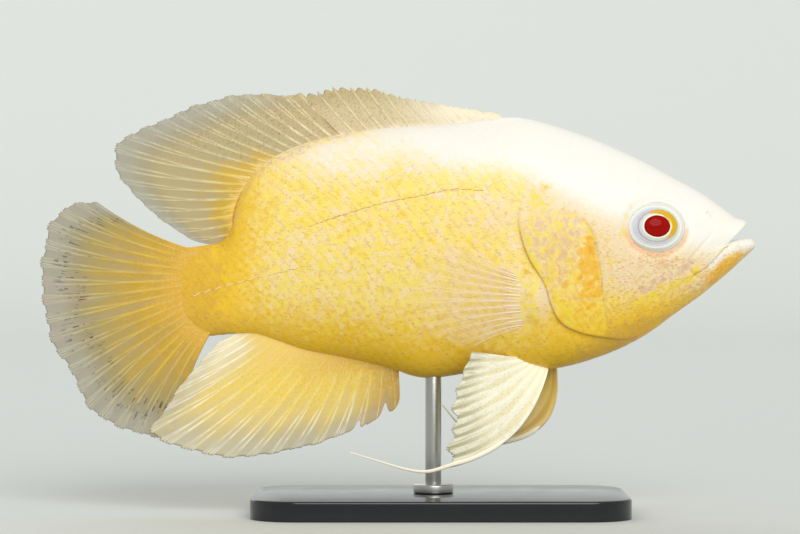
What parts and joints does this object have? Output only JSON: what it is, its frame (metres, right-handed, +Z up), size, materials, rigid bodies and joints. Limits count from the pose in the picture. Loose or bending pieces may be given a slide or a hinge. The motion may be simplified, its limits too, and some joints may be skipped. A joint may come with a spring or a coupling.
{
  "type": "oscar fish, life-size museum model",
  "caption": "Still life-size model of a yellow albino oscar, a deep-bodied aquarium cichlid with spread fins and trailing pelvic filaments, held by one rod on a flat base.",
  "frame": {"origin": "middle of the stand base's underside, on the floor", "axes": "+X towards the fish's head, +Z up; the fish's right side, which the picture shows, faces -Y"},
  "size_m": [0.216, 0.0681, 0.128],
  "materials": {
    "skin": "satin scaled skin",
    "fin_membrane": "satin translucent fin membrane",
    "eye": "glossy, red pupil in a pale ring",
    "stand_base": "polished dark acrylic",
    "stand_steel": "brushed"
  },
  "bodies": {
    "root": {"head": "skin", "upper_jaw": "skin", "lower_jaw": "skin", "gill_cover_right": "skin", "gill_cover_left": "skin", "trunk": "skin", "tail_peduncle": "skin", "eye_right": "eye", "eye_left": "eye", "dorsal_fin_front": "fin_membrane", "dorsal_fin_rear": "fin_membrane", "anal_fin": "fin_membrane", "caudal_fin": "fin_membrane", "pectoral_fin_right": "fin_membrane", "pectoral_fin_left": "fin_membrane", "pelvic_fin_right": "fin_membrane", "pelvic_fin_left": "fin_membrane", "pelvic_filament_right": "fin_membrane", "pelvic_filament_left": "fin_membrane", "stand_base": "stand_base", "stand_collar": "stand_steel", "stand_rod": "stand_steel"}
  },
  "joints": []
}
